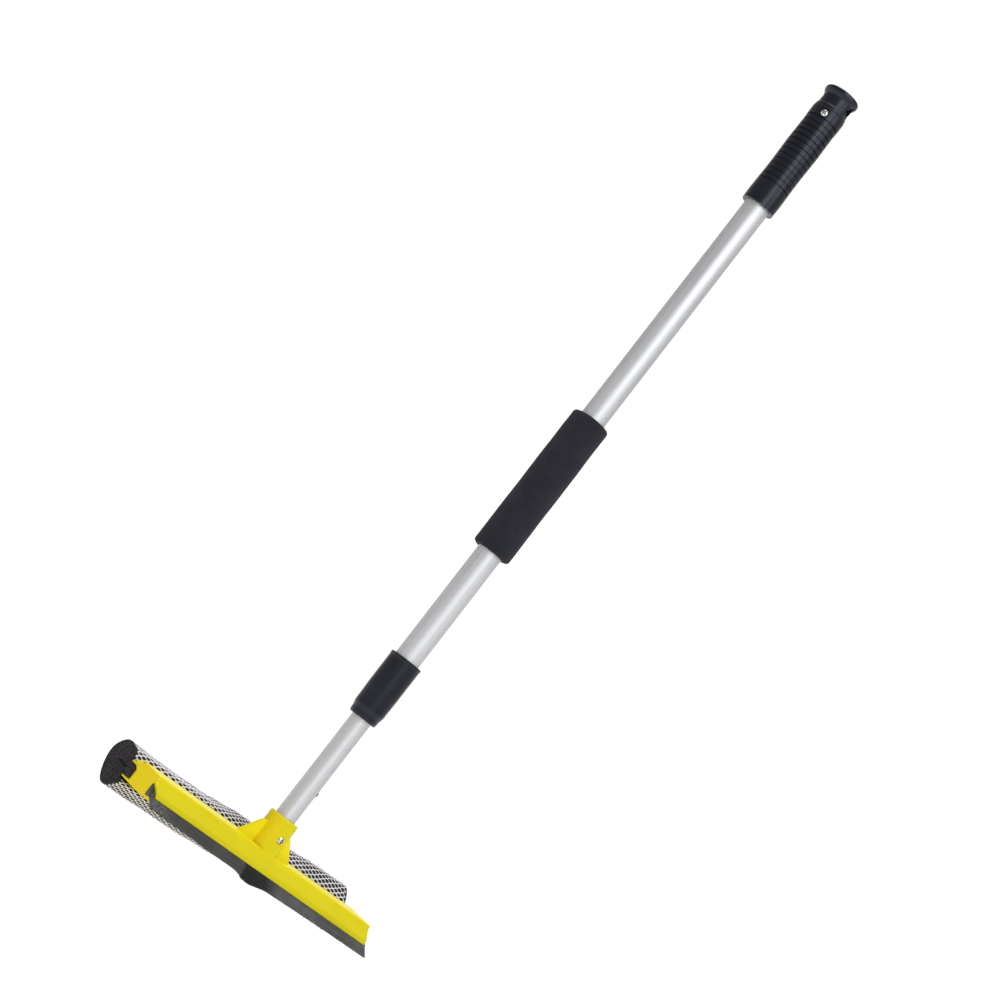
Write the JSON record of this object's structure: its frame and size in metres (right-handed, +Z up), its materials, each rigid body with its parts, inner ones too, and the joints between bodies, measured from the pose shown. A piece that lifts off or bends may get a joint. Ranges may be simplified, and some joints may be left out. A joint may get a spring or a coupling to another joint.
{
  "type": "window squeegee",
  "caption": "Telescopic-pole window squeegee: moulded head with a rubber blade in front and a netted sponge behind, twist-lock aluminium tubes, foam and ribbed grips, and a hanging hole.",
  "frame": {"origin": "centre of the hanging hole, on the pole's axis, with the squeegee hanging from it", "axes": "+Z up the pole from head to hanging hole, X along the head, -Y towards the side that the rubber blade faces"},
  "size_m": [0.2975, 0.095, 0.8981],
  "materials": {
    "yellow_plastic": "satin moulded",
    "screw_steel": "bright",
    "blade_rubber": "matte",
    "sponge_foam": "open-cell polyether foam",
    "net_fabric": "knitted nylon net",
    "aluminium": "satin anodised",
    "inner_plastic": "moulded",
    "button_plastic": "moulded",
    "spring_steel": "sprung strip",
    "ring_rubber": "matte",
    "black_plastic": "moulded, slight sheen",
    "grip_foam": "fine closed-cell foam"
  },
  "bodies": {
    "upper_pole": {"upper_tube": "aluminium", "top_grip": "black_plastic", "hanger_cap": "black_plastic", "grip_screw": "screw_steel", "foam_grip": "grip_foam", "lock_collar": "black_plastic", "guide_bush": "inner_plastic", "wiper_ring": "ring_rubber"},
    "drag_ring": {"drag_ring": "ring_rubber"},
    "lower_pole": {"lower_tube": "aluminium", "tube_plug": "inner_plastic", "lock_core": "inner_plastic", "core_pin": "screw_steel", "lock_cap": "inner_plastic", "lock_screw": "screw_steel", "button_spring": "spring_steel", "head": "yellow_plastic", "socket_screw": "screw_steel", "rubber_blade": "blade_rubber", "sponge": "sponge_foam", "sponge_net": "net_fabric"},
    "lock_ring": {"lock_ring": "inner_plastic"},
    "snap_button": {"snap_button": "button_plastic"}
  },
  "joints": [
    {"name": "telescope", "type": "slide", "parent": "upper_pole", "child": "drag_ring", "axis": [0, 0, -1], "range_m": [-0.0715, 0.445]},
    {"name": "twist_lock", "type": "hinge", "parent": "drag_ring", "child": "lower_pole", "pos_m": [0, 0, -0.517], "axis": [0, 0, 1], "range_deg": [0, 90]},
    {"name": "ring_turn", "type": "hinge", "parent": "lower_pole", "child": "lock_ring", "pos_m": [0.0005, 0, -0.197], "axis": [0, 0, 1], "range_deg": [-90, 0]},
    {"name": "button_press", "type": "slide", "parent": "lower_pole", "child": "snap_button", "axis": [-1, 0, 0], "range_m": [0, 0.0031], "stiffness_N_per_m": 1200, "springref_m": -0.001, "deforming": ["button_spring"]}
  ],
  "couplings": [
    {"joint": "ring_turn", "follows": "twist_lock", "ratio": -1}
  ]
}
